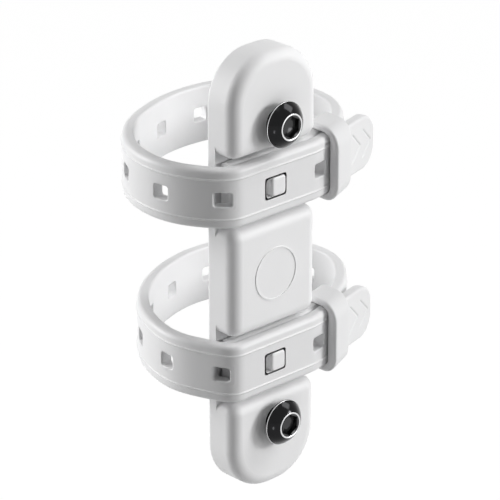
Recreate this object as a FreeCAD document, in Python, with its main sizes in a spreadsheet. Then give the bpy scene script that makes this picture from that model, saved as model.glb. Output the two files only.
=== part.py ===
import FreeCAD, Part
import math
import os

# Bottle cage adapter: a moulded body held on a bicycle tube by two rubber straps.
# Frame: origin midway between the two cage screws, on the pads' front plane.
# X runs across the body, -Y is the front, where the cage goes, +Y the tube side, Z is up.

doc = FreeCAD.newDocument("bottle_cage_adapter")
V = FreeCAD.Vector

# Named sizes, in millimetres

SIZES = [
    ("screw_spacing", 64.0),
    ("body_width", 22.9),
    ("body_length", 93.2),
    ("body_depth", 7.6),
    ("spine_depth", 2.4),
    ("end_corner_radius", 10.4),
    ("pad_edge_radius", 2.5),
    ("pad_corner_radius", 2.4),
    ("back_edge_radius", 0.7),
    ("strap_level", 18.85),
    ("channel_height", 14.6),
    ("seat_curve_radius", 32.0),
    ("seat_curve_depth", 0.9),
    ("peg_width", 3.6),
    ("peg_height", 3.9),
    ("peg_reach", 0.65),
    ("peg_edge_radius", 0.5),
    ("emblem_radius", 5.6),
    ("emblem_line", 0.3),
    ("emblem_relief", 0.15),
    ("screw_radius", 2.5),
    ("screw_length", 6.0),
    ("head_radius", 4.75),
    ("head_height", 2.75),
    ("head_rim", 0.5),
    ("head_standoff", 2.05),
    ("head_crown_radius", 2.9),
    ("socket_across_flats", 4.0),
    ("socket_depth", 1.7),
    ("socket_chamfer_radius", 2.6),
    ("thread_clearance", 0.06),
    ("insert_radius", 3.5),
    ("insert_length", 5.2),
    ("insert_inset", 0.8),
    ("screw_hole_clearance", 0.25),
    ("strap_thickness", 2.5),
    ("strap_height", 12.4),
    ("strap_edge_radius", 0.75),
    ("bead_inset", 2.05),
    ("bead_width", 0.62),
    ("bead_relief", 0.25),
    ("strap_hole_width", 3.6),
    ("strap_hole_height", 3.4),
    ("strap_hole_corner", 0.55),
    ("strap_hole_pitch", 12.2),
    ("peg_hole_width", 5.1),
    ("peg_hole_shift", 0.6),
    ("peg_hole_height", 4.1),
    ("root_hole_width", 4.0),
    ("outer_layer_front", 0.6),
    ("layer_gap", 0.65),
    ("tail_angle", 15.0),
    ("bend_place", 12.4),
    ("bend_reach", 1.3),
    ("straight_length", 8.8),
    ("front_reach_left", 9.4),
    ("jog_place", 12.55),
    ("jog_length", 2.1),
    ("jog_drop", 1.0),
    ("root_reach", 8.8),
    ("first_hole_place", 34.0),
    ("upper_ring_left", 18.1),
    ("upper_ring_right", 30.8),
    ("upper_ring_back", 39.9),
    ("lower_ring_left", 15.1),
    ("lower_ring_right", 35.6),
    ("lower_ring_back", 42.2),
    ("tab_height", 11.4),
    ("tab_thickness", 2.4),
    ("tab_reach", 11.2),
    ("tab_tip_radius", 4.4),
    ("tab_edge_radius", 0.5),
    ("mark_width", 0.55),
    ("mark_arm_length", 4.2),
    ("mark_arm_angle", 44.0),
    ("mark_start", 1.4),
    ("mark_first_apex", 4.1),
    ("mark_second_apex", 8.2),
    ("mark_depth", 0.25),
    ("keeper_left", 14.4),
    ("keeper_length", 6.8),
    ("keeper_height", 15.6),
    ("keeper_wall", 1.4),
    ("keeper_clearance", 0.35),
    ("keeper_front_radius", 3.8),
    ("keeper_back_radius", 2.4),
    ("keeper_edge_radius", 0.8),
    ("core_front_radius", 1.6),
    ("core_back_radius", 1.0),
    ("keeper_front_gap", 0.3),
]

sheet = doc.addObject("Spreadsheet::Sheet", "sizes")
for row, (name, value) in enumerate(SIZES, start=1):
    sheet.set("A%d" % row, name)
    sheet.set("B%d" % row, str(value))
    sheet.setAlias("B%d" % row, name)
doc.recompute()


def size(name):
    """Value of one named size."""
    return float(sheet.get(name))


def bind(obj, **rules):
    """Bind properties of an object to expressions over the sheet."""
    for prop, rule in rules.items():
        obj.setExpression(prop.replace("__", "."), rule)
    return obj


def box(name, length, width, height, x, y, z):
    """Box with every side and corner bound to the sheet."""
    obj = doc.addObject("Part::Box", name)
    return bind(obj, Length=length, Width=width, Height=height,
                Placement__Base__x=x, Placement__Base__y=y, Placement__Base__z=z)


def front_cylinder(name, radius, height, x, y, z):
    """Cylinder whose axis runs from the front to the back, along +Y."""
    obj = doc.addObject("Part::Cylinder", name)
    obj.Placement = FreeCAD.Placement(V(0, 0, 0), FreeCAD.Rotation(V(1, 0, 0), -90))
    return bind(obj, Radius=radius, Height=height,
                Placement__Base__x=x, Placement__Base__y=y, Placement__Base__z=z)


def fuse(name, shapes):
    """Union of several objects."""
    obj = doc.addObject("Part::MultiFuse", name)
    obj.Shapes = shapes
    obj.Refine = True
    return obj


def cut(name, base, tool):
    """One object less another."""
    obj = doc.addObject("Part::Cut", name)
    obj.Base = base
    obj.Tool = tool
    obj.Refine = True
    return obj


def fillet(name, base, radius, chosen):
    """Rounding of the edges of a base that a test picks out."""
    doc.recompute()
    obj = doc.addObject("Part::Fillet", name)
    obj.Base = base
    edges = []
    for index, edge in enumerate(base.Shape.Edges, start=1):
        if chosen(edge):
            edges.append((index, radius, radius))
    obj.Edges = edges
    doc.recompute()
    return obj


def along(edge, axis):
    """True for a straight edge that runs along the given axis."""
    if not isinstance(edge.Curve, Part.Line):
        return False
    direction = edge.Curve.Direction
    return abs(abs(direction.dot(axis)) - 1.0) < 1e-6


def at_y(edge, y):
    """True for an edge that lies in one plane of constant Y."""
    return all(abs(point.y - y) < 1e-4 for point in edge.discretize(5))


X_AXIS = V(1, 0, 0)
Y_AXIS = V(0, 1, 0)
Z_AXIS = V(0, 0, 1)


# Adapter body: a thin spine that carries three raised pads and two pegs

def pad(name, bottom, top, round_top, round_bottom):
    """One raised pad, its front edges rounded."""
    block = box(name + "_block", "sizes.body_width",
                "sizes.body_depth - 1", "(%s) - (%s)" % (top, bottom),
                "-sizes.body_width / 2", "0", bottom)
    doc.recompute()
    low = block.Shape.BoundBox.ZMin
    high = block.Shape.BoundBox.ZMax
    ends = block
    if round_top:
        ends = fillet(name + "_top", ends, size("end_corner_radius"),
                      lambda e: along(e, Y_AXIS) and e.CenterOfMass.z > high - 0.1)
    if round_bottom:
        ends = fillet(name + "_foot", ends, size("end_corner_radius"),
                      lambda e: along(e, Y_AXIS) and e.CenterOfMass.z < low + 0.1)
    small = fillet(name + "_corners", ends, size("pad_corner_radius"),
                   lambda e: along(e, Y_AXIS) and abs(abs(e.CenterOfMass.x) - size("body_width") / 2) < 0.01
                   and (abs(e.CenterOfMass.z - low) < 0.01 or abs(e.CenterOfMass.z - high) < 0.01))
    return fillet(name + "_edge", small, size("pad_edge_radius"), lambda e: at_y(e, 0.0))


def adapter_body():
    """The moulded body with its screw holes."""
    half = "sizes.body_length / 2"
    channel = "sizes.channel_height / 2"
    top_pad = pad("top_pad", "sizes.strap_level + " + channel, half, True, False)
    middle_pad = pad("middle_pad", "-sizes.strap_level + " + channel,
                     "sizes.strap_level - " + channel, False, False)
    bottom_pad = pad("bottom_pad", "-" + half, "-sizes.strap_level - " + channel, False, True)
    plate = box("spine_plate", "sizes.body_width", "sizes.spine_depth", "sizes.body_length",
                "-sizes.body_width / 2", "sizes.body_depth - sizes.spine_depth", "-" + half)
    plate = fillet("spine_ends", plate, size("end_corner_radius"), lambda e: along(e, Y_AXIS))
    plate = fillet("spine_back", plate, size("back_edge_radius"), lambda e: at_y(e, size("body_depth")))
    parts = [plate, top_pad, middle_pad, bottom_pad]
    for side, sign in (("upper", ""), ("lower", "-")):
        peg = box(side + "_peg", "sizes.peg_width",
                  "sizes.body_depth - sizes.spine_depth + sizes.peg_reach + 0.5", "sizes.peg_height",
                  "-sizes.peg_width / 2", "-sizes.peg_reach",
                  "%ssizes.strap_level - sizes.peg_height / 2" % sign)
        peg = fillet(side + "_peg_sides", peg, size("peg_edge_radius"), lambda e: along(e, Y_AXIS))
        front = -size("peg_reach")
        peg = fillet(side + "_peg_face", peg, size("peg_edge_radius") * 0.8, lambda e: at_y(e, front))
        parts.append(peg)
    emblem = front_cylinder("emblem_disc", "sizes.emblem_radius", "1", "0", "-sizes.emblem_relief", "0")
    inner = front_cylinder("emblem_inner", "sizes.emblem_radius - sizes.emblem_line", "2", "0", "-1", "0")
    parts.append(cut("emblem_ring", emblem, inner))
    whole = fuse("body_mass", parts)
    seat = doc.addObject("Part::Cylinder", "seat_curve")
    bind(seat, Radius="sizes.seat_curve_radius", Height="sizes.body_length + 20",
         Placement__Base__y="sizes.body_depth - sizes.seat_curve_depth + sizes.seat_curve_radius",
         Placement__Base__z="-sizes.body_length / 2 - 10")
    tools = [seat]
    for side, sign in (("top", ""), ("bottom", "-")):
        level = "%ssizes.screw_spacing / 2" % sign
        tools.append(front_cylinder(side + "_screw_hole", "sizes.screw_radius + sizes.screw_hole_clearance",
                                    "sizes.body_depth + 2", "0", "-1", level))
        tools.append(front_cylinder(side + "_insert_seat", "sizes.insert_radius", "sizes.insert_length",
                                    "0", "sizes.insert_inset", level))
    return cut("adapter_body", whole, fuse("body_hollows", tools))


# Threaded inserts: brass bushes moulded into the body behind the two outer pads

def insert(name, sign):
    """A threaded bush that the body is moulded round."""
    level = "%ssizes.screw_spacing / 2" % sign
    bush = front_cylinder(name + "_bush", "sizes.insert_radius - 0.01", "sizes.insert_length - 0.02",
                          "0", "sizes.insert_inset + 0.01", level)
    bore = front_cylinder(name + "_bore", "sizes.screw_radius + sizes.thread_clearance",
                          "sizes.insert_length + 2", "0", "sizes.insert_inset - 1", level)
    return cut(name, bush, bore)


# Cage screws: button heads with a hexagon socket

def screw(name, sign):
    """One screw, standing proud of its pad by the head's standoff."""
    rim = size("head_radius")
    points = [(0.0, size("screw_length") - 0.5), (0.0, size("screw_length")),
              (size("screw_radius") - 0.5, size("screw_length")),
              (size("screw_radius"), size("screw_length") - 0.5),
              (size("screw_radius"), 0.0), (rim, 0.0), (rim, -size("head_rim"))]
    crown = size("head_crown_radius")
    top = -size("head_height")
    edges = []
    start = points[1]
    for point in points[2:]:
        edges.append(Part.makeLine(V(start[0], start[1], 0), V(point[0], point[1], 0)))
        start = point
    middle = V((rim + crown) / 2 + 0.33, (-size("head_rim") + top) / 2 - 0.28, 0)
    edges.append(Part.Arc(V(rim, -size("head_rim"), 0), middle, V(crown, top, 0)).toShape())
    edges.append(Part.makeLine(V(crown, top, 0), V(0, top, 0)))
    edges.append(Part.makeLine(V(0, top, 0), V(0, size("screw_length"), 0)))
    outline = doc.addObject("Part::Feature", name + "_outline")
    outline.Shape = Part.Face(Part.Wire(edges))
    turned = doc.addObject("Part::Revolution", name + "_turned")
    turned.Source = outline
    turned.Axis = Y_AXIS
    turned.Base = V(0, 0, 0)
    turned.Angle = 360.0
    turned.Solid = True
    socket = doc.addObject("Part::Prism", name + "_socket")
    socket.Polygon = 6
    socket.Placement = FreeCAD.Placement(V(0, 0, 0), FreeCAD.Rotation(V(1, 0, 0), -90))
    bind(socket, Circumradius="sizes.socket_across_flats / sqrt(3)", Height="sizes.socket_depth + 1",
         Placement__Base__y="-sizes.head_height - 1")
    mouth = doc.addObject("Part::Cone", name + "_mouth")
    mouth.Placement = FreeCAD.Placement(V(0, 0, 0), FreeCAD.Rotation(V(1, 0, 0), -90))
    bind(mouth, Radius1="sizes.socket_chamfer_radius + 1", Radius2="sizes.socket_chamfer_radius - 0.7",
         Height="1.7", Placement__Base__y="-sizes.head_height - 1")
    whole = cut(name, turned, fuse(name + "_drive", [socket, mouth]))
    level = "%ssizes.screw_spacing / 2" % sign
    bind(whole, Placement__Base__y="-sizes.head_standoff", Placement__Base__z=level)
    return whole


# Straps: one rubber band each, from under its own front layer, round the tube space and back over the pegs

# Each ring's shape in plan: shares of its width from left to right and of its depth from front to back
UPPER_RING = [
    (0.9468, 0.3058), (1, 0.5113), (0.955, 0.7719), (0.7914, 0.9599), (0.5746, 1),
    (0.3579, 0.9398), (0.1779, 0.817), (0.0429, 0.6115), (0, 0.3659), (0.0511, 0.1579),
]
LOWER_RING = [
    (0.8935, 0.2844), (1, 0.4882), (0.9803, 0.7299), (0.8264, 0.9384), (0.6134, 1),
    (0.3925, 0.9431), (0.2071, 0.8104), (0.069, 0.6114), (0, 0.346), (0.0375, 0.1422),
]


def ring_points(name, shape):
    """Points of a ring's mid line in plan."""
    left = size(name + "_ring_left")
    width = left + size(name + "_ring_right")
    depth = size(name + "_ring_back")
    return [V(x * width - left, y * depth, 0) for x, y in shape]


def turned(vector, angle):
    """A plan vector turned by an angle in radians."""
    return V(vector.x * math.cos(angle) - vector.y * math.sin(angle),
             vector.x * math.sin(angle) + vector.y * math.cos(angle), 0)


def arc_from(start, heading, end):
    """Start, middle, end and their headings, of the arc that leaves start along heading and meets end."""
    chord = end - start
    half = math.atan2(heading.x * chord.y - heading.y * chord.x, heading.dot(chord))
    if abs(half) < 1e-6:
        middle = start + chord * 0.5
        return (start, middle, end, heading, heading, heading)
    radius = chord.Length / 2 / math.sin(half)
    centre = start + turned(heading, math.pi / 2) * radius
    middle = centre + turned(start - centre, half)
    return (start, middle, end, heading, turned(heading, half), turned(heading, 2 * half))


def two_arcs(start, heading, end, last):
    """Two tangent arcs from one point and heading to another."""
    chord = end - start
    both = heading + last
    a = 2 * (1 - heading.dot(last))
    b = 2 * chord.dot(both)
    c = -chord.dot(chord)
    if abs(a) < 1e-9:
        reach = -c / b
    else:
        reach = (-b + math.sqrt(b * b - 4 * a * c)) / (2 * a)
    joint = (start + heading * reach + end - last * reach) * 0.5
    first = arc_from(start, heading, joint)
    return [first, arc_from(joint, first[5], end)]


def strap_runs(ring):
    """Mid line of a strap in plan, from its root to its tail, as straight and curved runs."""
    half = size("strap_thickness") / 2
    front = -size("outer_layer_front") + half
    inner = front + size("strap_thickness") + size("layer_gap")
    slope = math.radians(size("tail_angle"))
    run = V(math.cos(slope), math.sin(slope), 0)
    ahead = V(1, 0, 0)
    bend = V(size("bend_place"), inner, 0)
    straight_end = bend + run * size("straight_length")
    flat_left = V(-size("front_reach_left"), front, 0)
    jog_start = V(size("jog_place"), front, 0)
    tail_start = jog_start + V(size("jog_length"), size("jog_drop"), 0)
    points = [straight_end] + ring + [flat_left]
    headings = [run]
    for before, after in zip(points[:-2], points[2:]):
        headings.append((after - before).normalize())
    headings.append(ahead)
    root = V(-size("root_reach"), inner, 0)
    fold = V(bend.x - size("bend_reach"), inner, 0)
    unfold = bend + run * size("bend_reach")
    runs = [arc_from(root, ahead, fold)]
    runs += two_arcs(fold, ahead, unfold, run)
    runs.append(arc_from(unfold, run, straight_end))
    for index in range(len(points) - 1):
        runs += two_arcs(points[index], headings[index], points[index + 1], headings[index + 1])
    runs.append(arc_from(flat_left, ahead, jog_start))
    runs += two_arcs(jog_start, ahead, tail_start, run)
    return runs, tail_start, run


def beside(point, heading, offset):
    """A point moved towards the outer face of the band."""
    return V(point.x + heading.y * offset, point.y - heading.x * offset, 0)


def plan_edges(runs, offset):
    """Edges of the band's mid line moved towards its outer face."""
    edges = []
    for start, middle, end, first, mid, last in runs:
        a = beside(start, first, offset)
        b = beside(middle, mid, offset)
        c = beside(end, last, offset)
        if abs(first.x * last.y - first.y * last.x) < 1e-6:
            edges.append(Part.makeLine(a, c))
        else:
            edges.append(Part.Arc(a, b, c).toShape())
    return edges


def plan_strip(name, runs, near, far):
    """Face of the band in plan between two offsets from its mid line."""
    inner = plan_edges(runs, near)
    outer = plan_edges(runs, far)
    first = Part.makeLine(inner[0].Vertexes[0].Point, outer[0].Vertexes[0].Point)
    last = Part.makeLine(inner[-1].Vertexes[-1].Point, outer[-1].Vertexes[-1].Point)
    strip = doc.addObject("Part::Feature", name)
    strip.Shape = Part.Face(Part.Wire(Part.__sortEdges__(inner + [last] + outer + [first])))
    return strip


def raised(name, face, low, high):
    """A plan face made solid between two heights bound to the sheet."""
    solid = doc.addObject("Part::Extrusion", name)
    solid.Base = face
    solid.DirMode = "Custom"
    solid.Dir = Z_AXIS
    solid.Solid = True
    return bind(solid, LengthFwd=high, LengthRev="-(%s)" % low)


def strap(name, ring, sign):
    """One strap with its holes, tail and pull tab."""
    runs, tail_start, run = strap_runs(ring)
    half = size("strap_thickness") / 2
    high = size("strap_height") / 2
    strip = plan_strip(name + "_plan", runs, -half, half)
    band = raised(name + "_band", strip, "-sizes.strap_height / 2", "sizes.strap_height / 2")
    doc.recompute()
    outer_edges = plan_edges(runs, half)
    marks = [edge.valueAt((edge.FirstParameter + edge.LastParameter) / 2) for edge in outer_edges]

    def on_outer_rim(edge):
        centre = edge.valueAt((edge.FirstParameter + edge.LastParameter) / 2)
        if abs(abs(centre.z) - high) > 1e-4:
            return False
        return any(math.hypot(centre.x - m.x, centre.y - m.y) < 1e-3 for m in marks)

    band = fillet(name + "_rounded", band, size("strap_edge_radius"), on_outer_rim)
    bead = plan_strip(name + "_bead_plan", runs[:-2], half - 0.2, half + size("bead_relief"))
    place = "(sizes.strap_height / 2 - sizes.bead_inset)"
    beads = []
    for side, level in (("high", place), ("low", "-" + place)):
        beads.append(raised("%s_bead_%s" % (name, side), bead, level + " - sizes.bead_width / 2",
                            level + " + sizes.bead_width / 2"))
    tilt = FreeCAD.Rotation(Z_AXIS, size("tail_angle"))
    keeper_right = size("keeper_left") + size("keeper_length")
    tail_length = (keeper_right - tail_start.x) / run.x + size("tab_reach")
    tail = doc.addObject("Part::Box", name + "_tail_block")
    origin = tail_start + tilt.multVec(V(-0.02, -half, -size("tab_height") / 2))
    tail.Placement = FreeCAD.Placement(origin, tilt)
    tail.Length = tail_length + 0.02
    bind(tail, Width="sizes.tab_thickness", Height="sizes.tab_height")
    tip = tail_start + run * tail_length
    across = tilt.multVec(Y_AXIS)
    tail = fillet(name + "_tail_tip", tail, size("tab_tip_radius"),
                  lambda e: (e.CenterOfMass - tip).dot(run) > -0.1 and along(e, across))
    tail = fillet(name + "_tail_edges", tail, size("tab_edge_radius"),
                  lambda e: (e.CenterOfMass - tail_start).dot(run) > 0.5 and edge_on_face(e, tail_start, tilt))
    solid = fuse(name + "_solid", [band, tail] + beads)
    tools = []
    front_centre = sum(run_length(item) for item in runs[:-3]) + size("front_reach_left") - size("peg_hole_shift")
    distance = front_centre + size("strap_hole_pitch")
    count = 0
    while distance > size("first_hole_place"):
        wide = "sizes.strap_hole_width"
        tall = "sizes.strap_hole_height"
        if abs(distance - front_centre) < 0.01:
            wide = "sizes.peg_hole_width"
            tall = "sizes.peg_hole_height"
        place, heading = point_at(runs, distance)
        tools.append(strap_hole("%s_hole_%02d" % (name, count), place, heading, wide, tall))
        distance -= size("strap_hole_pitch")
        count += 1
    hidden = V(0, runs[0][0].y, 0)
    tools.append(strap_hole(name + "_root_hole", hidden, X_AXIS, "sizes.root_hole_width", "sizes.peg_hole_height"))
    tools += tab_marks(name, tail_start, run, tilt, keeper_right)
    whole = cut(name, solid, fuse(name + "_holes", tools))
    bind(whole, Placement__Base__z="%ssizes.strap_level" % sign)
    return whole


def run_length(item):
    """Length of one run."""
    start, middle, end, first, mid, last = item
    chord = (end - start).Length
    half = math.atan2(first.x * (end - start).y - first.y * (end - start).x, first.dot(end - start))
    if abs(half) < 1e-6:
        return chord
    return chord / math.sin(half) * half


def point_at(runs, distance):
    """Point and heading on the band's mid line at a distance from its root."""
    left = distance
    for item in runs:
        length = run_length(item)
        if left <= length:
            start, middle, end, first, mid, last = item
            chord = end - start
            half = math.atan2(first.x * chord.y - first.y * chord.x, first.dot(chord))
            part = left / length
            if abs(half) < 1e-6:
                return start + chord * part, first
            radius = chord.Length / 2 / math.sin(half)
            centre = start + turned(first, math.pi / 2) * radius
            return centre + turned(start - centre, 2 * half * part), turned(first, 2 * half * part)
        left -= length
    return runs[-1][2], runs[-1][5]


def edge_on_face(edge, origin, tilt):
    """True for an edge on the front or back face of a tail."""
    offset = tilt.inverted().multVec(edge.CenterOfMass - origin).y
    low = -size("strap_thickness") / 2
    return abs(offset - low) < 0.01 or abs(offset - low - size("tab_thickness")) < 0.01


def strap_hole(name, place, heading, wide, tall):
    """Tool for one rounded rectangular hole through the band."""
    angle = math.degrees(math.atan2(heading.y, heading.x))
    turn = FreeCAD.Rotation(Z_AXIS, angle)
    tool = doc.addObject("Part::Box", name + "_box")
    bind(tool, Length=wide, Height=tall, Width="sizes.strap_thickness + 3")
    doc.recompute()
    corner = turn.multVec(V(-tool.Length.Value / 2, -tool.Width.Value / 2, -tool.Height.Value / 2))
    tool.Placement = FreeCAD.Placement(place + corner, turn)
    across = turn.multVec(Y_AXIS)
    return fillet(name, tool, size("strap_hole_corner"), lambda e: along(e, across))


def tab_marks(name, tail_start, run, tilt, keeper_right):
    """Two shallow arrow marks that point to the tip of the tab."""
    marks = []
    face = -size("strap_thickness") / 2
    begin = (keeper_right - tail_start.x) / run.x + size("mark_start")
    for index, apex in enumerate((size("mark_first_apex"), size("mark_second_apex"))):
        for side in (1, -1):
            arm = doc.addObject("Part::Box", "%s_mark_%d%s" % (name, index, "a" if side > 0 else "b"))
            bind(arm, Length="sizes.mark_arm_length", Height="sizes.mark_width", Width="sizes.mark_depth + 1")
            lean = FreeCAD.Rotation(Y_AXIS, -(180 - size("mark_arm_angle")) * side)
            half = lean.multVec(V(0, 0, -size("mark_width") / 2))
            local = V(begin + apex, face - 1.0, 0) + half
            arm.Placement = FreeCAD.Placement(tail_start + tilt.multVec(local), tilt.multiply(lean))
            marks.append(arm)
    return marks


# Keepers: rounded sleeves round both layers of each strap

def keeper_plans():
    """Corners in plan of a keeper's outside and of its hollow, which follows the two strap layers."""
    half = size("strap_thickness") / 2
    front = -size("outer_layer_front") + half
    slope = math.tan(math.radians(size("tail_angle")))
    cosine = math.cos(math.radians(size("tail_angle")))
    left = size("keeper_left")
    right = left + size("keeper_length")
    clear = (half + size("keeper_clearance")) / cosine
    wall = size("keeper_wall")
    tail_left = size("jog_place") + size("jog_length")
    front_right = front + size("jog_drop") + (right - tail_left) * slope - clear
    front_left = -size("outer_layer_front") - size("bead_relief") - size("keeper_front_gap")
    back_middle = front + size("strap_thickness") + size("layer_gap") + clear
    back_left = back_middle + (left - size("bend_place")) * slope
    back_right = back_middle + (right - size("bend_place")) * slope
    outside = [V(left, front_left - wall, 0), V(right, front_right - wall, 0),
               V(right, back_right + wall, 0), V(left, back_left + wall, 0)]
    front_step = (front_right - front_left) / size("keeper_length")
    inside = [V(left - 1, front_left - front_step, 0), V(right + 1, front_right + front_step, 0),
              V(right + 1, back_right + slope, 0), V(left - 1, back_left - slope, 0)]
    return outside, inside


def plan_block(name, corners, half_height):
    """A plan outline made solid, the same height above and below the strap's middle."""
    face = doc.addObject("Part::Feature", name + "_plan")
    face.Shape = Part.Face(Part.makePolygon(corners + corners[:1]))
    return raised(name, face, "-(%s)" % half_height, half_height)


def keeper(name, sign):
    """One sleeve that holds the tail against the layer beneath it."""
    outside, inside = keeper_plans()
    left = size("keeper_left")
    right = left + size("keeper_length")

    def lengthwise(edge):
        return edge.BoundBox.XLength > size("keeper_length") - 0.1

    def square(edge):
        tall = max(size("keeper_height"), size("strap_height")) / 2
        return lengthwise(edge) and abs(edge.CenterOfMass.z) > tall - size("keeper_front_radius") / 2

    def on_end(edge):
        return edge.BoundBox.XLength < 0.001 and min(abs(edge.CenterOfMass.x - left),
                                                     abs(edge.CenterOfMass.x - right)) < 0.001

    def in_front(edge):
        return edge.CenterOfMass.y < (outside[0].y + outside[2].y) / 2

    block = plan_block(name + "_block", outside, "sizes.keeper_height / 2")
    outer = fillet(name + "_front", block, size("keeper_front_radius"), lambda e: lengthwise(e) and in_front(e))
    outer = fillet(name + "_back", outer, size("keeper_back_radius"), lambda e: square(e) and not in_front(e))
    outer = fillet(name + "_ends", outer, size("keeper_edge_radius"), on_end)
    core = plan_block(name + "_core", inside, "sizes.strap_height / 2 + sizes.keeper_clearance")
    inner = fillet(name + "_core_front", core, size("core_front_radius"), lambda e: lengthwise(e) and in_front(e))
    inner = fillet(name + "_core_back", inner, size("core_back_radius"), lambda e: square(e) and not in_front(e))
    whole = cut(name, outer, inner)
    bind(whole, Placement__Base__z="%ssizes.strap_level" % sign)
    return whole


# Build every piece and write it out

pieces = {
    "adapter_body": adapter_body(),
    "insert_top": insert("insert_top", ""),
    "insert_bottom": insert("insert_bottom", "-"),
    "screw_top": screw("screw_top", ""),
    "screw_bottom": screw("screw_bottom", "-"),
    "strap_upper": strap("strap_upper", ring_points("upper", UPPER_RING), ""),
    "strap_lower": strap("strap_lower", ring_points("lower", LOWER_RING), "-"),
    "keeper_upper": keeper("keeper_upper", ""),
    "keeper_lower": keeper("keeper_lower", "-"),
}
doc.recompute()

os.makedirs("parts", exist_ok=True)
faults = 0
for obj in doc.Objects:
    if "Invalid" in obj.State or "Error" in obj.State:
        print("STATE", obj.Name, obj.State)
        faults += 1
for label, obj in pieces.items():
    obj.Label = label
    shape = obj.Shape
    if shape.isNull() or not shape.isValid() or len(shape.Solids) != 1:
        print("SHAPE", label, shape.isNull(), shape.isNull() or shape.isValid(), len(shape.Solids))
        faults += 1
        continue
    shape.exportStep("parts/%s.step" % label)
    bb = shape.BoundBox
    print("%-16s volume %9.2f  x %7.2f %7.2f  y %7.2f %7.2f  z %7.2f %7.2f" % (
        label, shape.Volume, bb.XMin, bb.XMax, bb.YMin, bb.YMax, bb.ZMin, bb.ZMax))
print("faults", faults)
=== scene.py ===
import bisect
import math

import bmesh
import bpy
from mathutils import Matrix, Vector


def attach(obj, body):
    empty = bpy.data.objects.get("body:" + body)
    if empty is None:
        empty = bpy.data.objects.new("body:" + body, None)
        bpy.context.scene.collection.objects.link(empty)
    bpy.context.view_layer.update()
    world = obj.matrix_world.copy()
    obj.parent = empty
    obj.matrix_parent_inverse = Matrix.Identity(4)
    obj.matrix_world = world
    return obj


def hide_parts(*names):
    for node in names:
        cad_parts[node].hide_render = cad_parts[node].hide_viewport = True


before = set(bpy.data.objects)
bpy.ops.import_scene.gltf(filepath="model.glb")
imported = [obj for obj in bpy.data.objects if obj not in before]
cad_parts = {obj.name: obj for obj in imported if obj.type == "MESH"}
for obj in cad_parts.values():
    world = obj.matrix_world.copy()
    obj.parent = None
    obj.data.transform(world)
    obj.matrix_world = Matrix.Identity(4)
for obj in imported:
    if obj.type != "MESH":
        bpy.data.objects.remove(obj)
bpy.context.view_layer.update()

# Camera: the photograph's view, solved with the two cage screws 64 mm apart (places in metres)

RIGHT = Vector((0.72777, -0.68582, 0.0))
UP = Vector((0.27127, 0.28787, 0.91845))
BACK = Vector((-0.62989, -0.66842, 0.39555))
PLACE = Vector((-0.40069, -0.41771, 0.25421))
SENSOR_WIDTH = 36.0
FOCAL_LENGTH = 230.4

lens = bpy.data.cameras.new("camera")
lens.sensor_width = SENSOR_WIDTH
lens.lens = FOCAL_LENGTH
lens.clip_start = 0.05
lens.clip_end = 20.0
camera = bpy.data.objects.new("camera", lens)
bpy.context.scene.collection.objects.link(camera)
turn = Matrix((RIGHT, UP, BACK)).transposed()
camera.matrix_world = Matrix.Translation(PLACE) @ turn.to_4x4()
bpy.context.scene.camera = camera


# Materials

NOISE_LOW, NOISE_HIGH = 0.3, 0.7
CLOUD_SCALE, CLOUD_DETAIL = 60.0, 3.0
GRAIN_DETAIL = 2.0
MARKS_DETAIL = 4.0
PLASTIC_IOR = 1.47
SMOOTHER, ROUGHER = 0.05, 0.06
BUMP_DISTANCE = 0.00005
METAL_SHADE = 0.8
POLISHED, WORN = 0.85, 1.2


def new_material(name):
    """An empty node material and its tree."""
    material = bpy.data.materials.new(name)
    material.use_nodes = True
    tree = material.node_tree
    tree.nodes.clear()
    return material, tree


def principled(tree):
    """A Principled shader joined to the tree's output."""
    output = tree.nodes.new("ShaderNodeOutputMaterial")
    shader = tree.nodes.new("ShaderNodeBsdfPrincipled")
    tree.links.new(shader.outputs["BSDF"], output.inputs["Surface"])
    return shader


def noise(tree, scale, detail, place):
    """Noise over object coordinates."""
    node = tree.nodes.new("ShaderNodeTexNoise")
    node.inputs["Scale"].default_value = scale
    node.inputs["Detail"].default_value = detail
    tree.links.new(place.outputs["Object"], node.inputs["Vector"])
    return node


def two_tone(tree, shader, pattern, colour, shade):
    """Base colour that changes between two tones with a noise pattern."""
    mix = tree.nodes.new("ShaderNodeMix")
    mix.data_type = "RGBA"
    mix.inputs["A"].default_value = (*colour, 1.0)
    mix.inputs["B"].default_value = (*shade, 1.0)
    tree.links.new(pattern.outputs["Fac"], mix.inputs["Factor"])
    tree.links.new(mix.outputs["Result"], shader.inputs["Base Color"])


def roughness(tree, shader, pattern, low, high):
    """Roughness that changes between two limits with a noise pattern."""
    node = tree.nodes.new("ShaderNodeMapRange")
    node.inputs["From Min"].default_value = NOISE_LOW
    node.inputs["From Max"].default_value = NOISE_HIGH
    node.inputs["To Min"].default_value = low
    node.inputs["To Max"].default_value = high
    tree.links.new(pattern.outputs["Fac"], node.inputs["Value"])
    tree.links.new(node.outputs["Result"], shader.inputs["Roughness"])


def moulded(name, colour, shade, rough, grain, bump):
    """Moulded white plastic or rubber with soft clouds of colour and a fine grain."""
    material, tree = new_material(name)
    shader = principled(tree)
    place = tree.nodes.new("ShaderNodeTexCoord")
    cloud = noise(tree, CLOUD_SCALE, CLOUD_DETAIL, place)
    fine = noise(tree, grain, GRAIN_DETAIL, place)
    two_tone(tree, shader, cloud, colour, shade)
    roughness(tree, shader, fine, rough - SMOOTHER, rough + ROUGHER)
    height = tree.nodes.new("ShaderNodeBump")
    height.inputs["Strength"].default_value = bump
    height.inputs["Distance"].default_value = BUMP_DISTANCE
    tree.links.new(fine.outputs["Fac"], height.inputs["Height"])
    tree.links.new(height.outputs["Normal"], shader.inputs["Normal"])
    shader.inputs["IOR"].default_value = PLASTIC_IOR
    return material


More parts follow.
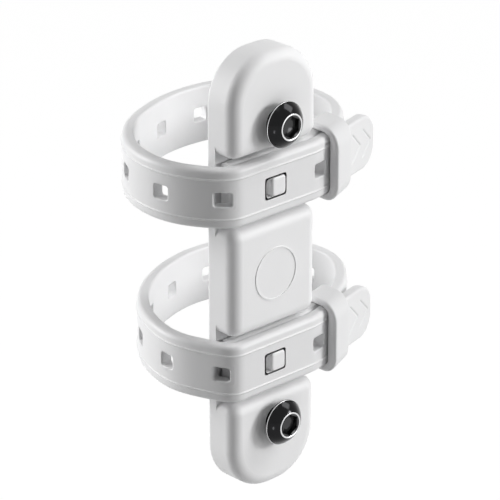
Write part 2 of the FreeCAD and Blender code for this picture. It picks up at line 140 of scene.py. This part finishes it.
def metal(name, colour, rough, grain):
    """Bare or blackened metal with fine marks."""
    material, tree = new_material(name)
    shader = principled(tree)
    place = tree.nodes.new("ShaderNodeTexCoord")
    fine = noise(tree, grain, MARKS_DETAIL, place)
    two_tone(tree, shader, fine, colour, [c * METAL_SHADE for c in colour])
    roughness(tree, shader, fine, rough * POLISHED, rough * WORN)
    shader.inputs["Metallic"].default_value = 1.0
    return material


body_white = moulded("body_white", (0.93, 0.93, 0.935), (0.9, 0.9, 0.905), 0.5, 2600.0, 0.25)
strap_white = moulded("strap_white", (0.86, 0.86, 0.865), (0.83, 0.83, 0.835), 0.42, 1800.0, 0.15)
keeper_white = moulded("keeper_white", (0.81, 0.81, 0.815), (0.785, 0.785, 0.79), 0.4, 2200.0, 0.15)
screw_black = metal("screw_black", (0.021, 0.021, 0.022), 0.13, 900.0)
# Bare metal for the socket chamfer, and for a narrow band round the head's rim that is a painted
# highlight on the black head
screw_bare_and_highlight = metal("screw_bare_and_highlight", (0.8, 0.8, 0.81), 0.3, 1500.0)
screw_socket = metal("screw_socket", (0.07, 0.07, 0.072), 0.15, 1200.0)
insert_brass = metal("insert_brass", (0.72, 0.5, 0.2), 0.3, 1200.0)


def dress(node, material):
    """A CAD node's material slots set to one material."""
    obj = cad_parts[node]
    if not obj.data.materials:
        obj.data.materials.append(material)
    for held in obj.material_slots:
        held.link = "OBJECT"
        held.material = material


dress("adapter_body", body_white)
dress("insert_top", insert_brass)
dress("insert_bottom", insert_brass)


# Mesh helpers: all shapes below are worked out in millimetres

MM = 0.001
WELD = 0.0000015
SHARP = math.radians(38.0)


class Shape:
    """Points and faces of one piece, gathered patch by patch."""

    def __init__(self):
        self.points = []
        self.faces = []
        self.looks = []

    def grid(self, rows, look=0, round_rows=False, round_columns=False):
        """Faces between neighbouring rows of points; look picks the material."""
        first = len(self.points)
        wide = len(rows[0])
        for row in rows:
            self.points.extend(row)
        for r in range(len(rows) if round_rows else len(rows) - 1):
            for c in range(wide if round_columns else wide - 1):
                a = first + r * wide + c
                b = first + r * wide + (c + 1) % wide
                up = ((r + 1) % len(rows) - r) * wide
                self.faces.append((a, b, b + up, a + up))
                self.looks.append(look)

    def cap(self, loop, look=0):
        """One flat face that closes a loop."""
        first = len(self.points)
        self.points.extend(loop)
        self.faces.append(tuple(range(first, first + len(loop))))
        self.looks.append(look)

    def piece(self, name, materials, body, slot, *nodes):
        """The welded mesh as a piece that rides on a body and stands for its nodes, if any."""
        mesh = bpy.data.meshes.new(name)
        mesh.from_pydata([(x * MM, y * MM, z * MM) for x, y, z in self.points], [], self.faces)
        mesh.polygons.foreach_set("material_index", self.looks)
        work = bmesh.new()
        work.from_mesh(mesh)
        bmesh.ops.remove_doubles(work, verts=work.verts, dist=WELD)
        bmesh.ops.recalc_face_normals(work, faces=work.faces)
        for face in work.faces:
            face.smooth = True
        work.to_mesh(mesh)
        work.free()
        mesh.set_sharp_from_angle(angle=SHARP)
        for material in materials:
            mesh.materials.append(material)
        obj = bpy.data.objects.new(name, mesh)
        bpy.context.scene.collection.objects.link(obj)
        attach(obj, body)
        if nodes:
            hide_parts(*nodes)


def rounded_loop(half_wide, half_tall, radius, steps):
    """Points round a rounded rectangle, as many on each side, from its lower left corner."""
    loop = []
    for quarter in range(4):
        length, reach = (half_wide, half_tall) if quarter % 2 == 0 else (half_tall, half_wide)
        straight = 2 * (length - radius)
        arc = radius * math.pi / 4
        for step in range(steps):
            d = (straight + 2 * arc) * step / steps
            if d < arc:
                turn = -0.75 * math.pi + d / radius
                x = radius - length + radius * math.cos(turn)
                y = radius - reach + radius * math.sin(turn)
            elif d <= arc + straight:
                x = radius - length + d - arc
                y = -reach
            else:
                turn = -0.5 * math.pi + (d - arc - straight) / radius
                x = length - radius + radius * math.cos(turn)
                y = radius - reach + radius * math.sin(turn)
            for _ in range(quarter):
                x, y = -y, x
            loop.append((x, y))
    return loop


def quarter_turns(steps):
    """Angles from 0 to 90 degrees, in radians."""
    return [math.radians(90 * step / steps) for step in range(steps + 1)]


def columns(low, high, step):
    """Evenly spaced places from low to high, about a step apart."""
    count = max(1, math.ceil((high - low) / step))
    return [low + (high - low) * i / count for i in range(count + 1)]


# Straps: a band with raised beads and rounded holes, and a pull tab with two arrow marks.
# In a band, s is the distance along its mid line and n the distance from it, outwards.

STRAP_LEVEL = 18.85
HALF_THICK = 1.25
HALF_HIGH = 6.2
OUTER_EDGE = 1.0
INNER_EDGE = 0.5
BEAD = 4.15
BEAD_HALF = 0.3
BEAD_RISE = 0.2
BAND_STEP = 0.6

# Plan of the route: the root under the front layer, the bend, the ring, the front layer, the tail
FRONT = 0.65
ROOT_LEVEL = 3.35
ROOT_START, ROOT_END = -10.4, 9.6
FRONT_START, FRONT_END = -9.4, 9.3
BEND = Vector((12.4, 3.8))
BEND_LENGTH = 2.0
STRAIGHT_LENGTH = 8.8
TAIL_START = Vector((14.65, 1.65))
TAIL_OVERLAP = 0.6
TILT = math.radians(15.0)
RUN = Vector((math.cos(TILT), math.sin(TILT)))
AHEAD = Vector((1.0, 0.0))
ROUTE_STEP = 0.4
RELAX_ROUNDS = 24
RELAX_EASE = 10

UPPER_RING = ((28.2, 12.2), (30.8, 20.4), (28.6, 30.8), (20.6, 38.3), (10.0, 39.9),
              (-0.6, 37.5), (-9.4, 32.6), (-16.0, 24.4), (-18.1, 14.6), (-15.6, 6.3))
LOWER_RING = ((30.2, 12.0), (35.6, 20.6), (34.6, 30.8), (26.8, 39.6), (16.0, 42.2),
              (4.8, 39.8), (-4.6, 34.2), (-11.6, 25.8), (-15.1, 14.6), (-13.2, 6.0))

# Holes: half width, half height and corner radius; a cell is the patch of band round a hole
HOLE = (1.6, 1.5, 0.5)
ROOT_HOLE = (2.0, 2.05, 0.55)
PEG_HOLE = (2.45, 1.9, 0.6)
RIM = 0.26
PEG_RIM = 0.08
RIM_STEPS = 8
CELL = 3.0
PEG_CELL = 3.6
CELL_STEPS = 16
PITCH = 12.2
PEG_SHIFT = 0.6
PEG_HOLE_SHIFT = 0.1
FIRST_HOLE = 35.6

# Tab: sizes of its face and of the sunk marks on it, measured along the tail
TAB_LENGTH = 17.98
TAB_HALF_HIGH = 5.7
TAB_HALF_THICK = 1.2
TAB_TIP = 4.4
TAB_EDGE = 0.6
TAB_SINK = 0.01
TAB_START = -0.3
TAB_FINE_START = 8.6
MARKS_START = 8
MARK_APEXES = (12.28, 16.38)
MARK_ARM = (3.0, 2.9)
MARK_HALF = 0.3
MARK_DEPTH = 0.2


class Route:
    """Mid line of a band in plan, from its root under the front layer to the start of its tab."""

    def __init__(self, ring):
        self.line = [Vector((ROOT_START, ROOT_LEVEL))]
        self.go(Vector((ROOT_END, ROOT_LEVEL)), AHEAD, AHEAD)
        self.go(BEND + RUN * BEND_LENGTH, AHEAD, RUN)
        straight_end = BEND + RUN * STRAIGHT_LENGTH
        stops = [straight_end] + [Vector(p) for p in ring] + [Vector((FRONT_START, FRONT))]
        self.go(straight_end, RUN, RUN)
        begin = len(self.line)
        headings = [RUN]
        headings += [(b - a).normalized() for a, b in zip(stops[:-2], stops[2:])]
        headings += [AHEAD]
        for stop, heading, last in zip(stops[1:], headings, headings[1:]):
            self.go(stop, heading, last)
        end = len(self.line)
        self.relax(begin, end)
        self.go(Vector((FRONT_END, FRONT)), AHEAD, AHEAD)
        self.go(TAIL_START, AHEAD, RUN)
        self.go(TAIL_START + RUN * TAIL_OVERLAP, RUN, RUN)
        self.place = [0.0]
        for a, b in zip(self.line, self.line[1:]):
            self.place.append(self.place[-1] + (b - a).length)
        self.front = self.place[end - 1]
        self.length = self.place[-1]
        self.heads = [AHEAD]
        for a, b in zip(self.line, self.line[2:]):
            self.heads.append((b - a).normalized())
        self.heads.append(RUN)

    def go(self, end, heading, last):
        """A smooth run from the line's last point to an end point."""
        start = self.line[-1]
        chord = (end - start).length
        steps = max(2, int(chord / ROUTE_STEP))
        for step in range(1, steps + 1):
            u = step / steps
            self.line.append(start * (2 * u**3 - 3 * u**2 + 1)
                             + heading * chord * (u**3 - 2 * u**2 + u)
                             + end * (3 * u**2 - 2 * u**3)
                             + last * chord * (u**3 - u**2))

    def relax(self, begin, end):
        """Small changes of curvature evened out along the ring."""
        for _ in range(RELAX_ROUNDS):
            line = [p.copy() for p in self.line]
            for i in range(begin, end - 1):
                ease = min(1.0, (i - begin) / RELAX_EASE, (end - 1 - i) / RELAX_EASE) * 0.5
                line[i] += ((self.line[i - 1] + self.line[i + 1]) * 0.5 - self.line[i]) * ease
            self.line = line

    def at(self, s, z, n):
        """Point of the band a distance along it, at a height, n towards its outer face."""
        s = min(max(s, 0.0), self.length)
        i = min(max(bisect.bisect_right(self.place, s) - 1, 0), len(self.line) - 2)
        u = (s - self.place[i]) / (self.place[i + 1] - self.place[i])
        p = self.line[i].lerp(self.line[i + 1], u)
        t = self.heads[i].lerp(self.heads[i + 1], u).normalized()
        return (p.x + t.y * n, p.y - t.x * n, z)


def arc_points(cn, cz, radius, start, stop, steps):
    """Points of an arc in the band's section, angles in degrees."""
    out = []
    for step in range(steps + 1):
        turn = math.radians(start + (stop - start) * step / steps)
        out.append((cn + radius * math.cos(turn), cz + radius * math.sin(turn)))
    return out


def border():
    """Section of the band's upper border, from its outer face over the edge to its inner face."""
    line = [(HALF_THICK, z) for z in (CELL, 3.25, 3.5, 3.7)]
    for step in range(13):
        t = step / 6 - 1
        rise = BEAD_RISE * (0.5 + 0.5 * math.cos(math.pi * t))
        line.append((HALF_THICK + rise, BEAD + BEAD_HALF * t))
    line += [(HALF_THICK, 4.65), (HALF_THICK, 4.9)]
    line += arc_points(HALF_THICK - OUTER_EDGE, HALF_HIGH - OUTER_EDGE, OUTER_EDGE, 0, 90, 10)
    line += [(-0.1, HALF_HIGH), (-0.45, HALF_HIGH)]
    line += arc_points(INNER_EDGE - HALF_THICK, HALF_HIGH - INNER_EDGE, INNER_EDGE, 90, 180, 6)
    line += [(-HALF_THICK, z) for z in (5.2, 4.7, 4.2, 3.7, 3.3, CELL)]
    return line


def hole_side(square, place, half_wide, half_tall, corner, rim, side):
    """Loops from a cell's border in to its hole and over the rim, outside (1) or inside (-1)."""
    rounded = []
    for turn in quarter_turns(RIM_STEPS):
        grow = rim * (1 - math.sin(turn))
        loop = rounded_loop(half_wide + grow, half_tall + grow, corner + grow, CELL_STEPS)
        n = side * (HALF_THICK - rim * (1 - math.cos(turn)))
        rounded.append([(place + x, z, n) for x, z in loop])
    loops = [[(p, z, side * HALF_THICK) for p, z in square]]
    for share in (0.33, 0.67):
        loops.append([(a + (b - a) * share, c + (d - c) * share, side * HALF_THICK)
                      for (a, c), (b, d, _) in zip(square, rounded[0])])
    # Known fault: the loop at 0.67 belongs before the rim's first loop. Here it folds a ring of
    # faces back over itself, which draws the dark line round the peg holes.
    return loops[:2] + rounded[:1] + loops[2:] + rounded[1:]


def band(shape, route, level):
    """The band's skin, with its holes, in plan along its route."""
    upper = border()
    lower = [(n, -z) for n, z in upper]
    heights = [-CELL + 2 * CELL * i / CELL_STEPS for i in range(CELL_STEPS + 1)]
    outer_face = [(HALF_THICK, z) for z in heights]
    inner_face = [(-HALF_THICK, z) for z in heights]

    def skin(places, *sections):
        """Patches of the band's skin, one for each part of its section."""
        for section in sections:
            shape.grid([[route.at(s, level + z, n) for n, z in section] for s in places])

    peg = route.front - FRONT_START - PEG_SHIFT
    holes = [(-ROOT_START, CELL, *ROOT_HOLE, PEG_RIM),
             (peg - PEG_HOLE_SHIFT, PEG_CELL, *PEG_HOLE, PEG_RIM),
             (peg + PITCH, CELL, *HOLE, RIM)]
    place = peg - PITCH
    while place > FIRST_HOLE:
        holes.append((place, CELL, *HOLE, RIM))
        place -= PITCH

    edge = 0.0
    for place, half_cell, *hole in sorted(holes):
        gap = columns(edge, place - half_cell, BAND_STEP)
        skin(gap, upper, lower, outer_face, inner_face)
        edge = place + half_cell
        cell = [place - half_cell + 2 * half_cell * i / CELL_STEPS for i in range(CELL_STEPS + 1)]
        skin(cell, upper, lower)
        square = [(p, -CELL) for p in cell[:-1]] + [(cell[-1], z) for z in heights[:-1]]
        square += [(p, CELL) for p in cell[:0:-1]] + [(cell[0], z) for z in heights[:0:-1]]
        loops = hole_side(square, place, *hole, 1) + hole_side(square, place, *hole, -1)[::-1]
        shape.grid([[route.at(p, level + z, n) for p, z, n in loop] for loop in loops],
                   round_columns=True)
    skin(columns(edge, route.length, BAND_STEP), upper, lower, outer_face, inner_face)

    section = outer_face[::-1] + lower[1:] + inner_face[1:] + upper[::-1][1:-1]
    for s in (0.0, route.length):
        shape.cap([route.at(s, level + z, n) for n, z in section])


def near_segment(u, z, a, b):
    """Distance from a point of the tab's face to a straight mark."""
    du, dz = b[0] - a[0], b[1] - a[1]
    t = min(1.0, max(0.0, ((u - a[0]) * du + (z - a[1]) * dz) / (du * du + dz * dz)))
    return math.hypot(u - a[0] - du * t, z - a[1] - dz * t)


def tab(shape, level):
    """The tail and its pull tab; u is the distance along the tail."""
    marks = []
    for apex in MARK_APEXES:
        for side in (1, -1):
            marks.append(((apex, 0.0), (apex - MARK_ARM[0], MARK_ARM[1] * side)))
    corner = TAB_LENGTH - TAB_TIP
    places = columns(TAB_START, TAB_FINE_START, 0.4)[:-1]
    places += columns(TAB_FINE_START, corner, 0.11)[:-1]
    places += [corner + TAB_TIP * math.sin(turn) for turn in quarter_turns(44)]
    edge_share = TAB_EDGE / TAB_HALF_HIGH
    shares = [1 - edge_share * (1 - math.sin(turn)) for turn in quarter_turns(8)[:0:-1]]
    shares = ([-x for x in shares] + columns(edge_share - 1, 1 - edge_share, 0.021)
              + shares[::-1])
    faces = {1: [], -1: []}
    for u in places:
        past = max(0.0, u - corner)
        half = TAB_HALF_HIGH - TAB_TIP + math.sqrt(max(0.0, TAB_TIP * TAB_TIP - past * past))
        rows = {1: [], -1: []}
        for share in shares:
            z = half * share
            if past > 0 and abs(z) > TAB_HALF_HIGH - TAB_TIP:
                depth = TAB_TIP - math.hypot(past, abs(z) - TAB_HALF_HIGH + TAB_TIP)
            else:
                depth = min(TAB_HALF_HIGH - abs(z), TAB_LENGTH - u)
            depth = max(0.0, depth)
            rise = TAB_HALF_THICK
            if depth < TAB_EDGE:
                rise -= TAB_EDGE - math.sqrt(max(0.0, TAB_EDGE**2 - (TAB_EDGE - depth)**2))
            for side in (1, -1):
                n = side * rise
                if side == 1 and u > MARKS_START:
                    gap = min(near_segment(u, z, a, b) for a, b in marks)
                    if gap < MARK_HALF:
                        n -= MARK_DEPTH * (0.5 + 0.5 * math.cos(math.pi * gap / MARK_HALF))
                n += HALF_THICK - TAB_HALF_THICK - TAB_SINK
                p = TAIL_START + RUN * u
                rows[side].append((p.x + RUN.y * n, p.y - RUN.x * n, level + z))
        for side in (1, -1):
            faces[side].append(rows[side])
    for side in (1, -1):
        shape.grid(faces[side])
    rim = []
    for side in (1, -1):
        face = faces[side]
        rim.append([row[0] for row in face] + face[-1][1:-1]
                   + [row[-1] for row in face[::-1]] + face[0][-2:0:-1])
    shape.grid(rim, round_columns=True)


for side, ring, level in (("upper", UPPER_RING, STRAP_LEVEL), ("lower", LOWER_RING, -STRAP_LEVEL)):
    shape = Shape()
    band(shape, Route(ring), level)
    tab(shape, level)
    shape.piece("strap_%s_band" % side, [strap_white], "adapter", "strap_rubber", "strap_%s" % side)


# Pegs: the soft-edged faces of the moulded pegs that hold the straps

PEG_HALF_WIDE, PEG_HALF_HIGH = 1.82, 1.97
PEG_CORNER = 0.75
PEG_EDGE = 0.42
PEG_BASE, PEG_FRONT = 0.6, -0.92
PEG_STEPS = 12


def peg_face(level, name):
    """The rounded end of one peg, fitted over its solid and a little proud of the strap."""
    sides = [[(x, PEG_BASE, level + z)
              for x, z in rounded_loop(PEG_HALF_WIDE, PEG_HALF_HIGH, PEG_CORNER, PEG_STEPS)]]
    for turn in quarter_turns(8):
        inset = PEG_EDGE * (1 - math.cos(turn))
        y = PEG_FRONT + PEG_EDGE * (1 - math.sin(turn))
        loop = rounded_loop(PEG_HALF_WIDE - inset, PEG_HALF_HIGH - inset, PEG_CORNER - inset,
                            PEG_STEPS)
        sides.append([(x, y, level + z) for x, z in loop])
    face = [sides[-1]]
    for share in (0.66, 0.33):
        face.append([(x * share, PEG_FRONT, level + (z - level) * share) for x, _, z in face[0]])
    shape = Shape()
    shape.grid(sides, round_columns=True)
    shape.grid(face, round_columns=True)
    shape.cap(face[-1])
    shape.cap(sides[0])
    shape.piece(name, [body_white], "adapter", "body_plastic")


peg_face(STRAP_LEVEL, "peg_upper_face")
peg_face(-STRAP_LEVEL, "peg_lower_face")


# Keepers: soft sleeves with rounded rims.
# Each plan has the Y of the front and of the back at the sleeve's left and right ends,
# half the height, and the radius of the front and of the back corners.

KEEPER_LEFT, KEEPER_RIGHT = 14.4, 21.2
KEEPER_OUTSIDE = ((-2.55, 0.35), (7.39, 9.21), 7.8, 3.8, 2.4)
KEEPER_HOLLOW = ((-0.05, 1.9), (5.99, 7.81), 6.5, 1.7, 1.1)
CORNER_STEPS = 14

# Rounding of the rims: reach along X in millimetres, and share of the wall
OUTER_ROUND = (0.62, 0.48)
INNER_ROUND = (0.45, 0.36)


def sleeve_point(plan, x, corner, place):
    """Point round the sleeve's outside or hollow at one station."""
    fronts, backs, tall, front_round, back_round = plan
    share = (x - KEEPER_LEFT) / (KEEPER_RIGHT - KEEPER_LEFT)
    front = fronts[0] + (fronts[1] - fronts[0]) * share
    back = backs[0] + (backs[1] - backs[0]) * share
    radius = front_round if corner in (0, 3) else back_round
    cy = front + radius if corner in (0, 3) else back - radius
    cz = tall - radius if corner in (0, 1) else radius - tall
    turn = math.radians((180, 90, 0, -90)[corner] - 90 * place / CORNER_STEPS)
    return Vector((x, cy + radius * math.cos(turn), cz + radius * math.sin(turn)))


def sleeve(level, name, body, node):
    """One keeper round both layers of its strap."""
    parts = [(corner, place) for corner in range(4) for place in range(CORNER_STEPS + 1)]
    wall = []
    for end, inwards, t_end, (rx, rt), start in (
            (KEEPER_RIGHT, -1, 1.0, OUTER_ROUND, 0), (KEEPER_LEFT, 1, 1.0, OUTER_ROUND, 90),
            (KEEPER_LEFT, 1, 0.0, INNER_ROUND, 180), (KEEPER_RIGHT, -1, 0.0, INNER_ROUND, 270)):
        t_inwards = -1 if t_end == 1.0 else 1
        for step in range(8):
            turn = math.radians(start + 90 * step / 7)
            wall.append((end + inwards * rx + rx * math.cos(turn),
                         t_end + t_inwards * rt + rt * math.sin(turn)))
    stations = []
    for a, b in zip(wall, wall[1:] + wall[:1]):
        count = 6 if abs(b[0] - a[0]) > 2 else 1
        stations += [(a[0] + (b[0] - a[0]) * i / count, a[1] + (b[1] - a[1]) * i / count)
                     for i in range(count)]
    rows = []
    for x, t in stations:
        corners = [sleeve_point(KEEPER_HOLLOW, x, *part).lerp(
            sleeve_point(KEEPER_OUTSIDE, x, *part), t) for part in parts]
        loop = []
        for index, part in enumerate(parts):
            loop.append(corners[index])
            after = (index + 1) % len(parts)
            if parts[after][0] != part[0]:
                loop += [corners[index].lerp(corners[after], i / 10) for i in range(1, 10)]
        rows.append([(p.x, p.y, p.z + level) for p in loop])
    shape = Shape()
    shape.grid(rows, round_rows=True, round_columns=True)
    shape.piece(name, [keeper_white], body, "keeper_rubber", node)


sleeve(STRAP_LEVEL, "keeper_upper_sleeve", "upper_keeper", "keeper_upper")
sleeve(-STRAP_LEVEL, "keeper_lower_sleeve", "lower_keeper", "keeper_lower")


# Cage screws: domed heads with a bright socket chamfer, a bright band of bare metal round the rim
# that is a painted highlight, and a threaded shank.
# Rings are given as a radius and a depth behind the underside of the head.

SCREW_LEVEL = 32.0
HEAD_UNDERSIDE = -2.05
AROUND = 96
SHANK_TIP = (1.9, 6.0)
SHANK_CHAMFER = (2.2, 5.75)
THREAD_ROWS = 72
THREAD_LENGTH = 5.6
THREAD_PITCH = 0.8
THREAD_RADIUS = 2.32
THREAD_RISE = 0.16
HEAD_INSIDE = (2.5, 0.0)
HEAD_FLAT = (4.4, 0.0)
EDGE_RADIUS = 4.6
EDGE_ROUND = (0.15, 0.1)
# A narrow band at the head's rim edge, drawn in bare metal as a painted highlight
RIM_HIGHLIGHT = ((4.75, -0.26), (4.74, -0.33), (4.69, -0.38))
DOME_RADIUS = 5.5
DOME_CENTRE = 2.502
DOME_START, DOME_TURN, DOME_STEPS = 58.4, 28.4, 22
SOCKET_LIP = ((2.72, -2.32), (2.64, -2.35), (2.52, -2.34), (2.44, -2.28))
SOCKET_HALF_FLATS = 2.0
SOCKET_WALL = ((2.34, -2.2, 0.3), (2.28, -2.08, 1.0), (2.2, -1.5, 1.0), (2.2, -0.95, 1.0))
SOCKET_FLOOR = ((1.2, -0.75), (0.4, -0.6))
BLACK, BARE_AND_HIGHLIGHT, SOCKET = 0, 1, 2


def cage_screw(level, name, body, node):
    """One screw turned about its own axis."""
    angles = [2 * math.pi * i / AROUND for i in range(AROUND)]

    def ring(radius, depth, hexagon=0.0):
        """Points round the axis, drawn towards the socket's hexagon by a share."""
        loop = []
        for angle in angles:
            side = (angle + math.pi / 6) % (math.pi / 3) - math.pi / 6
            flat = SOCKET_HALF_FLATS / math.cos(side)
            r = radius + (flat - radius) * hexagon
            loop.append((r * math.cos(angle), HEAD_UNDERSIDE + depth, level + r * math.sin(angle)))
        return loop

    def turned(rings, look):
        """The skin between neighbouring rings."""
        shape.grid(rings, look, round_columns=True)

    shape = Shape()
    thread = []
    for row in range(THREAD_ROWS + 1):
        depth = THREAD_LENGTH * (1 - row / THREAD_ROWS)
        fade = min(1.0, row / 8, (THREAD_ROWS - row) / 6)
        loop = []
        for angle in angles:
            wave = math.cos(2 * math.pi * depth / THREAD_PITCH - angle)
            r = THREAD_RADIUS + THREAD_RISE * fade * wave
            loop.append((r * math.cos(angle), HEAD_UNDERSIDE + depth, level + r * math.sin(angle)))
        thread.append(loop)
    turned([ring(*SHANK_TIP), ring(*SHANK_CHAMFER)] + thread[:1], BLACK)
    shape.cap(ring(*SHANK_TIP), BLACK)
    turned(thread, BLACK)
    turned(thread[-1:] + [ring(*HEAD_INSIDE), ring(*HEAD_FLAT)], BLACK)
    edge = [ring(*HEAD_FLAT)]
    for turn in quarter_turns(6):
        edge.append(ring(EDGE_RADIUS + EDGE_ROUND[0] * math.sin(turn),
                         -EDGE_ROUND[1] * (1 - math.cos(turn))))
    turned(edge + [ring(*RIM_HIGHLIGHT[0])], BLACK)
    # Painted highlight: a thin band of bare metal round the black head's rim
    turned([ring(*station) for station in RIM_HIGHLIGHT], BARE_AND_HIGHLIGHT)
    dome = []
    for step in range(DOME_STEPS + 1):
        turn = math.radians(DOME_START - DOME_TURN * step / DOME_STEPS)
        dome.append(ring(DOME_RADIUS * math.sin(turn), DOME_CENTRE - DOME_RADIUS * math.cos(turn)))
    turned(dome, BLACK)
    lip = [ring(*station) for station in SOCKET_LIP]
    turned(dome[-1:] + lip, BARE_AND_HIGHLIGHT)
    turned(lip[-1:] + [ring(*station) for station in SOCKET_WALL + SOCKET_FLOOR], SOCKET)
    shape.cap(ring(*SOCKET_FLOOR[-1]), SOCKET)
    shape.piece(name, [screw_black, screw_bare_and_highlight, screw_socket], body, "screw_black", node)


cage_screw(SCREW_LEVEL, "screw_top_turned", "top_screw", "screw_top")
cage_screw(-SCREW_LEVEL, "screw_bottom_turned", "bottom_screw", "screw_bottom")


# Floor, backdrop and light: sizes in metres, power in watts

FLOOR_HALF = 20.0
FLOOR_LEVEL = -0.30
FLOOR_GREY = 0.55
FLOOR_GLOW = 1.05
SEEN_SHARE = 0.94
AMBIENT = 0.05
SEEN_WORLD = 1.0


def seen_rays(tree):
    """One for camera, glossy and transmission rays, and nought for the rest."""
    path = tree.nodes.new("ShaderNodeLightPath")
    total = path.outputs["Is Camera Ray"]
    for name in ("Is Glossy Ray", "Is Transmission Ray"):
        both = tree.nodes.new("ShaderNodeMath")
        both.operation = "MAXIMUM"
        tree.links.new(total, both.inputs[0])
        tree.links.new(path.outputs[name], both.inputs[1])
        total = both.outputs[0]
    return total


def backdrop_material():
    """Pale floor that is seen as almost white and keeps a little light and shade."""
    material, tree = new_material("floor_white")
    output = tree.nodes.new("ShaderNodeOutputMaterial")
    matte = tree.nodes.new("ShaderNodeBsdfDiffuse")
    matte.inputs["Color"].default_value = (FLOOR_GREY, FLOOR_GREY, FLOOR_GREY, 1.0)
    glow = tree.nodes.new("ShaderNodeEmission")
    glow.inputs["Strength"].default_value = FLOOR_GLOW
    part = tree.nodes.new("ShaderNodeMath")
    part.operation = "MULTIPLY"
    part.inputs[1].default_value = SEEN_SHARE
    mix = tree.nodes.new("ShaderNodeMixShader")
    tree.links.new(seen_rays(tree), part.inputs[0])
    tree.links.new(part.outputs[0], mix.inputs["Fac"])
    tree.links.new(matte.outputs["BSDF"], mix.inputs[1])
    tree.links.new(glow.outputs["Emission"], mix.inputs[2])
    tree.links.new(mix.outputs["Shader"], output.inputs["Surface"])
    return material


def floor():
    """A wide plane under the object."""
    mesh = bpy.data.meshes.new("floor")
    corners = ((-1, -1), (1, -1), (1, 1), (-1, 1))
    mesh.from_pydata([(x * FLOOR_HALF, y * FLOOR_HALF, FLOOR_LEVEL) for x, y in corners],
                     [], [(0, 1, 2, 3)])
    obj = bpy.data.objects.new("floor", mesh)
    bpy.context.scene.collection.objects.link(obj)
    mesh.materials.append(backdrop_material())


def light_world():
    """A white world, as seen, that lights the object only faintly."""
    world = bpy.data.worlds.new("world")
    bpy.context.scene.world = world
    world.use_nodes = True
    tree = world.node_tree
    tree.nodes.clear()
    output = tree.nodes.new("ShaderNodeOutputWorld")
    ambient = tree.nodes.new("ShaderNodeBackground")
    ambient.inputs["Color"].default_value = (1.0, 1.0, 1.0, 1.0)
    ambient.inputs["Strength"].default_value = AMBIENT
    seen = tree.nodes.new("ShaderNodeBackground")
    seen.inputs["Strength"].default_value = SEEN_WORLD
    mix = tree.nodes.new("ShaderNodeMixShader")
    tree.links.new(seen_rays(tree), mix.inputs["Fac"])
    tree.links.new(ambient.outputs["Background"], mix.inputs[1])
    tree.links.new(seen.outputs["Background"], mix.inputs[2])
    tree.links.new(mix.outputs["Shader"], output.inputs["Surface"])


def area(name, azimuth, elevation, distance, width, height, power):
    """A rectangular lamp aimed at the object; azimuth is measured like the camera's."""
    a = math.radians(azimuth)
    e = math.radians(elevation)
    back = Vector((math.sin(a) * math.cos(e), -math.cos(a) * math.cos(e), math.sin(e)))
    data = bpy.data.lights.new(name, "AREA")
    data.shape = "RECTANGLE"
    data.size = width
    data.size_y = height
    data.energy = power
    obj = bpy.data.objects.new(name, data)
    bpy.context.scene.collection.objects.link(obj)
    aim = back.to_track_quat("Z", "Y").to_matrix().to_4x4()
    obj.matrix_world = Matrix.Translation(back * distance) @ aim


floor()
light_world()
area("lamp_left", -146.0, 15.0, 0.9, 0.5, 0.7, 8.0)
area("lamp_front", 20.0, 8.0, 0.9, 0.35, 0.45, 1.3)
area("lamp_key", 40.0, 18.0, 0.9, 0.18, 0.24, 3.6)
area("lamp_high", 58.0, 46.0, 0.9, 0.4, 0.45, 3.0)
area("lamp_top", -43.0, 85.0, 0.9, 0.5, 0.7, 0.9)
area("lamp_low", -46.0, -22.0, 0.6, 0.05, 0.12, 0.12)

bpy.context.scene.view_settings.view_transform = "Standard"
